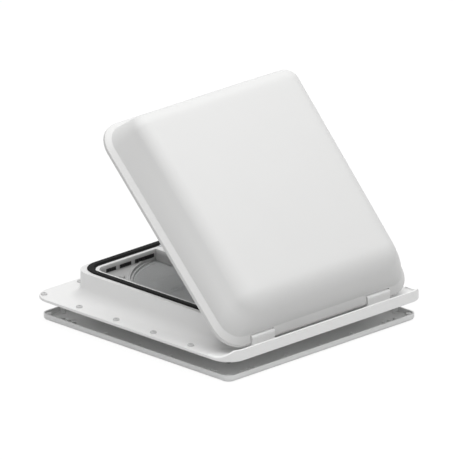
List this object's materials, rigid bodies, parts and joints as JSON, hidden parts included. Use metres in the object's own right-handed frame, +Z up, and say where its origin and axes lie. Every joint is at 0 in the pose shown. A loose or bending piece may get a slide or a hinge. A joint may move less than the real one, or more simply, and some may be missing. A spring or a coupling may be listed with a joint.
{
  "type": "caravan roof vent",
  "caption": "Square white roof vent: flanged frame with a hinged dome lid raised by a crank, worm gear and lift arm, a seal, an insect net and a clamped interior frame.",
  "frame": {"origin": "centre of the square roof hole, on the roof's outer skin under the flange", "axes": "+Z up out of the roof, +X along the lid's hinge, +Y from the hinge to the lid's free edge"},
  "size_m": [0.385, 0.385, 0.32],
  "materials": {
    "white_moulding": "satin white",
    "white_lid": "satin white",
    "white_screw": "white lacquer",
    "pale_grey": "satin pale grey",
    "grey_plastic": "satin grey",
    "black_plastic": "satin black",
    "black_rubber": "matt black",
    "net_cloth": "fine grey mesh",
    "steel": "zinc plated"
  },
  "bodies": {
    "base": {"roof_frame": "white_moulding", "rim_seal": "black_rubber", "wall_grilles": "black_plastic", "flange_screws": "white_screw", "cross_bar": "white_moulding", "bar_screws": "steel", "gear_cover": "white_moulding", "cover_screws": "steel", "shaft_bushes": "grey_plastic", "spindle_bush": "grey_plastic", "net_frame": "pale_grey", "insect_net": "net_cloth", "net_screws": "steel", "interior_frame": "pale_grey", "clamp_screws": "steel"},
    "lid": {"lid_shell": "white_lid", "lid_frame": "white_moulding", "lid_screws": "steel", "hinge_pins": "steel", "lid_rail": "pale_grey", "rail_screws": "steel"},
    "arm": {"lift_arm": "steel", "arm_shaft": "steel", "worm_wheel": "grey_plastic", "roller_pin": "steel"},
    "roller": {"arm_roller": "black_plastic"},
    "crank": {"crank_spindle": "steel", "drive_worm": "grey_plastic", "crank_knob": "white_moulding", "knob_screw": "steel", "handle_pin": "steel"},
    "handle": {"crank_handle": "white_moulding"}
  },
  "joints": [
    {"name": "lid_hinge", "type": "hinge", "parent": "base", "child": "lid", "pos_m": [0, -0.168, 0.015], "axis": [1, 0, 0], "range_deg": [-45.5, 0]},
    {"name": "arm_swing", "type": "hinge", "parent": "base", "child": "arm", "pos_m": [0, -0.025, 0.036], "axis": [1, 0, 0], "range_deg": [-91, 0]},
    {"name": "crank_turn", "type": "hinge", "parent": "base", "child": "crank", "pos_m": [0, -0.039, 0], "axis": [0, 0, 1], "range_deg": [-1638, 0]},
    {"name": "handle_fold", "type": "hinge", "parent": "crank", "child": "handle", "pos_m": [0, -0.023, -0.0168], "axis": [1, 0, 0], "range_deg": [0, 180]},
    {"name": "roller_spin", "type": "hinge", "parent": "arm", "child": "roller", "pos_m": [0, -0.04072, 0.17968], "axis": [1, 0, 0], "continuous": true}
  ],
  "couplings": [
    {"joint": "arm_swing", "follows": "lid_hinge", "ratio": 2},
    {"joint": "crank_turn", "follows": "lid_hinge", "ratio": 36}
  ]
}
